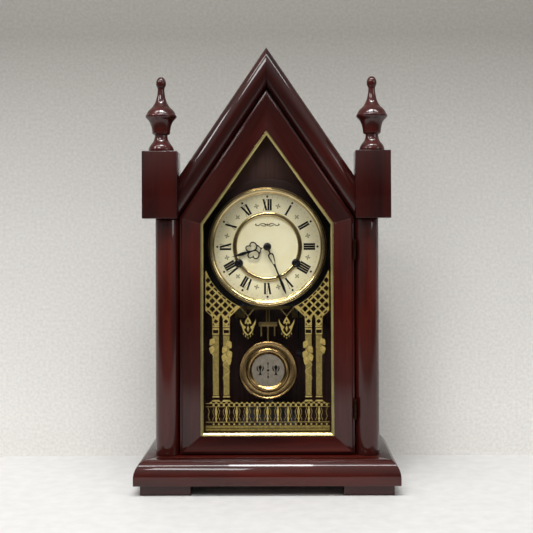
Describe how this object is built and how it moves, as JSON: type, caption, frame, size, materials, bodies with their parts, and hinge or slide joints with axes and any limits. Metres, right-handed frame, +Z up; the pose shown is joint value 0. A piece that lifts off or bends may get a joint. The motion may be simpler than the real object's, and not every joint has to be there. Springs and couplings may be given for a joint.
{
  "type": "mantel clock",
  "caption": "Steep-gabled wooden shelf clock with a printed glass door, round dial, swinging pendulum and turned finials.",
  "frame": {"origin": "bottom centre of the plinth, on the surface the clock stands on", "axes": "+Z up, the dial faces -Y, +X to the right as seen from the front"},
  "size_m": [0.305, 0.152, 0.5184],
  "materials": {
    "mahogany": "high gloss lacquer over red-brown stained wood",
    "inner_wood": "dark stain, matt",
    "plywood": "stained plywood",
    "brass": "polished and lacquered",
    "brass_plate": "plain rolled, aged",
    "bronzed_steel": "dark bronzed",
    "steel": "satin",
    "gong_steel": "blued spring steel",
    "cast_iron": "grey paint",
    "black_enamel": "gloss black",
    "dial_enamel": "cream satin with printed numerals",
    "glass": "clear sheet glass with a gold print"
  },
  "bodies": {
    "case": {"feet": "mahogany", "base_board": "mahogany", "base_moulding_front": "mahogany", "base_moulding_right": "mahogany", "base_moulding_left": "mahogany", "side_panel_right": "mahogany", "side_panel_left": "mahogany", "roof_board_right": "mahogany", "roof_board_left": "mahogany", "front_jamb_right": "inner_wood", "front_jamb_left": "inner_wood", "gable_jamb_right": "inner_wood", "gable_jamb_left": "inner_wood", "back_panel": "plywood", "front_column_right": "mahogany", "front_column_left": "mahogany", "roof_moulding_right": "mahogany", "roof_moulding_left": "mahogany", "finial_block_right": "mahogany", "finial_block_left": "mahogany", "finial_right": "mahogany", "finial_left": "mahogany", "hinge_case_leaves": "bronzed_steel", "door_catch": "black_enamel", "dial_plate": "dial_enamel", "bezel": "brass", "dial_posts": "steel", "dial_trim": "black_enamel", "front_plate": "brass_plate", "back_plate": "brass_plate", "plate_pillars": "steel", "movement_feet": "steel", "wood_screws": "steel", "suspension_post": "brass_plate", "gong_coil": "gong_steel", "gong_base": "cast_iron"},
    "door": {"door_stile_right": "mahogany", "door_stile_left": "mahogany", "door_bottom_rail": "mahogany", "door_rake_right": "mahogany", "door_rake_left": "mahogany", "door_sash": "brass", "door_glass": "glass", "hinge_door_leaves": "bronzed_steel", "hinge_pins": "bronzed_steel"},
    "pendulum": {"pendulum_rod": "brass", "pendulum_bob": "brass"},
    "anchor": {"anchor": "steel"},
    "escape_wheel": {"escape_wheel": "brass_plate"},
    "minute_hand": {"minute_hand": "black_enamel", "hand_nut": "black_enamel", "cannon_pinion": "steel"},
    "hour_hand": {"hour_hand": "black_enamel", "hour_wheel": "brass_plate"},
    "minute_wheel": {"minute_wheel": "brass_plate"},
    "time_barrel": {"time_barrel": "brass_plate"},
    "strike_barrel": {"strike_barrel": "brass_plate"},
    "time_winding_arbor": {"time_winding_arbor": "steel"},
    "strike_winding_arbor": {"strike_winding_arbor": "steel"},
    "strike_hammer": {"strike_hammer": "steel"}
  },
  "joints": [
    {"name": "door_hinge", "type": "hinge", "parent": "case", "child": "door", "pos_m": [0.1026, -0.046, 0.187], "axis": [0, 0, 1], "range_deg": [0, 94]},
    {"name": "pendulum_swing", "type": "hinge", "parent": "case", "child": "pendulum", "pos_m": [0, 0, 0.256], "axis": [0, 1, 0], "range_deg": [-4, 4]},
    {"name": "anchor_rock", "type": "hinge", "parent": "case", "child": "anchor", "pos_m": [0, 0, 0.256], "axis": [0, 1, 0], "range_deg": [-4, 4]},
    {"name": "escape_spin", "type": "hinge", "parent": "case", "child": "escape_wheel", "pos_m": [0, 0, 0.2385], "axis": [0, 1, 0], "continuous": true},
    {"name": "minute_spin", "type": "hinge", "parent": "case", "child": "minute_hand", "pos_m": [0, 0, 0.2833], "axis": [0, 1, 0], "continuous": true},
    {"name": "hour_spin", "type": "hinge", "parent": "case", "child": "hour_hand", "pos_m": [0, 0, 0.2833], "axis": [0, 1, 0], "continuous": true},
    {"name": "minute_wheel_spin", "type": "hinge", "parent": "case", "child": "minute_wheel", "pos_m": [0, 0, 0.2953], "axis": [0, 1, 0], "continuous": true},
    {"name": "time_barrel_spin", "type": "hinge", "parent": "case", "child": "time_barrel", "pos_m": [0.0345, 0, 0.2634], "axis": [0, 1, 0], "continuous": true},
    {"name": "strike_barrel_spin", "type": "hinge", "parent": "case", "child": "strike_barrel", "pos_m": [-0.0345, 0, 0.2634], "axis": [0, 1, 0], "continuous": true},
    {"name": "time_winding", "type": "hinge", "parent": "case", "child": "time_winding_arbor", "pos_m": [0.0345, 0, 0.2634], "axis": [0, 1, 0], "continuous": true},
    {"name": "strike_winding", "type": "hinge", "parent": "case", "child": "strike_winding_arbor", "pos_m": [-0.0345, 0, 0.2634], "axis": [0, 1, 0], "continuous": true},
    {"name": "hammer_lift", "type": "hinge", "parent": "case", "child": "strike_hammer", "pos_m": [0.038, 0, 0.224], "axis": [0, 1, 0], "range_deg": [-12, 0]}
  ],
  "couplings": [
    {"joint": "anchor_rock", "follows": "pendulum_swing", "ratio": 1},
    {"joint": "minute_wheel_spin", "follows": "minute_spin", "ratio": -0.33333},
    {"joint": "hour_spin", "follows": "minute_spin", "ratio": 0.083333}
  ]
}
